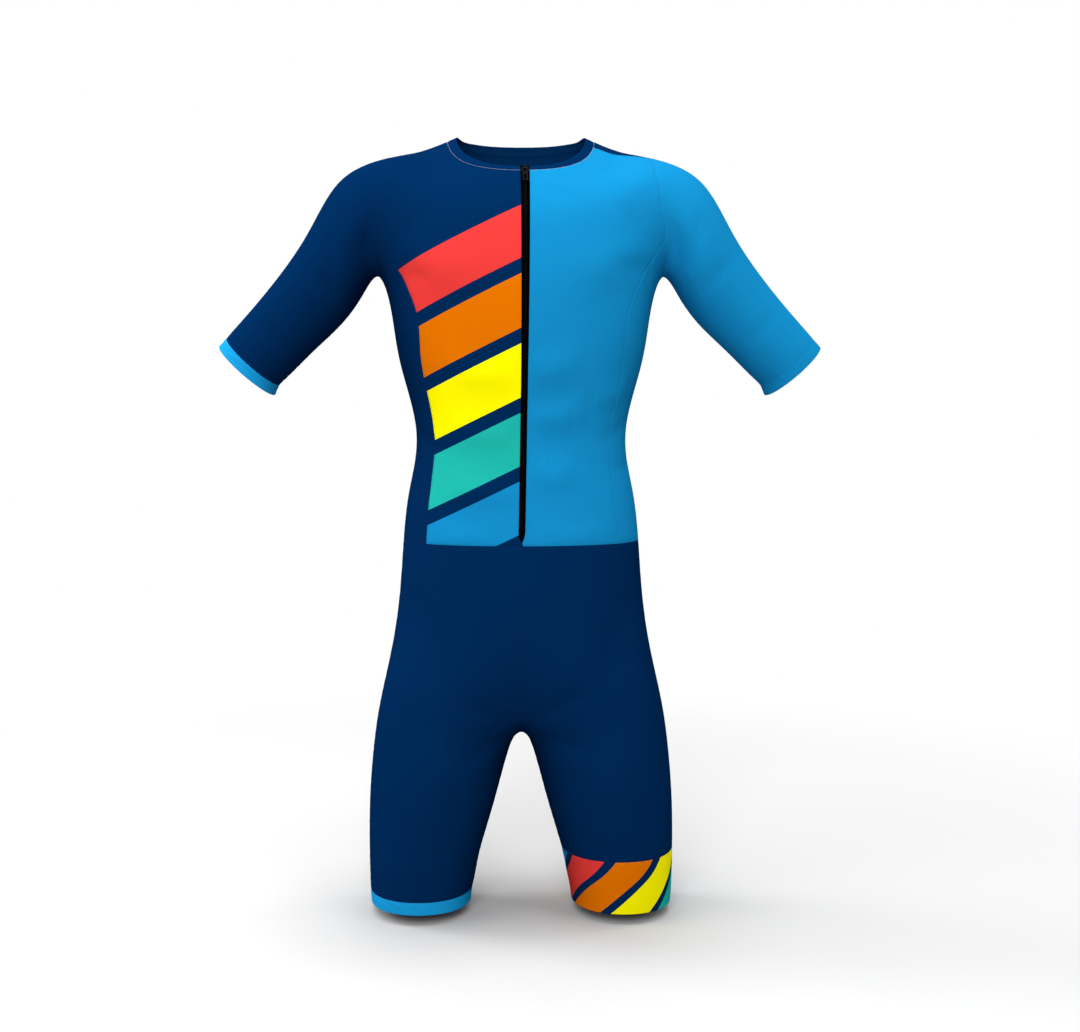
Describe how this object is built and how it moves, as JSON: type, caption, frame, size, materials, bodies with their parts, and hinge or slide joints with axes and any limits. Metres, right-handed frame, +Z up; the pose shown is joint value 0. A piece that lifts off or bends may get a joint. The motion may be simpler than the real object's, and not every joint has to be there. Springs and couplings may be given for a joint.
{
  "type": "cycling skinsuit",
  "caption": "Close-fitting one-piece cycling suit with short sleeves, a front zip to the waist and legs to just above the knee, worn shape, colour-blocked knit.",
  "frame": {"origin": "midway between the two points where the neckline meets the shoulders, where the wearer's shoulders carry the suit", "axes": "+Z up, -Y out of the chest, +X to the wearer's left"},
  "size_m": [0.6932, 0.2359, 0.88],
  "materials": {
    "navy_knit": "matt warp knit",
    "sky_knit": "matt warp knit",
    "barred_knit": "matt warp knit printed with plain slanted bars",
    "sky_band": "elastic gripper band",
    "barred_band": "elastic gripper band printed with plain slanted bars",
    "zip_tape": "woven tape with moulded teeth",
    "zip_metal": "black enamel"
  },
  "bodies": {
    "suit": {"neck_band": "navy_knit", "front_right": "barred_knit", "front_left": "sky_knit", "side_right": "navy_knit", "side_left": "sky_knit", "back": "navy_knit", "sleeve_right": "navy_knit", "sleeve_left": "sky_knit", "cuff_right": "sky_band", "cuff_left": "sky_band", "short_front_right": "navy_knit", "short_front_left": "navy_knit", "short_back_right": "navy_knit", "short_back_left": "navy_knit", "hem_right": "sky_band", "hem_left": "barred_band", "zip_tape": "zip_tape", "zip_slider": "zip_metal"},
    "pull": {"zip_pull": "zip_metal"}
  },
  "joints": [
    {"name": "pull_tab_hinge", "type": "hinge", "parent": "suit", "child": "pull", "pos_m": [0.0032, -0.07129, -0.05223], "axis": [-1, 0, 0], "range_deg": [0, 165]}
  ]
}
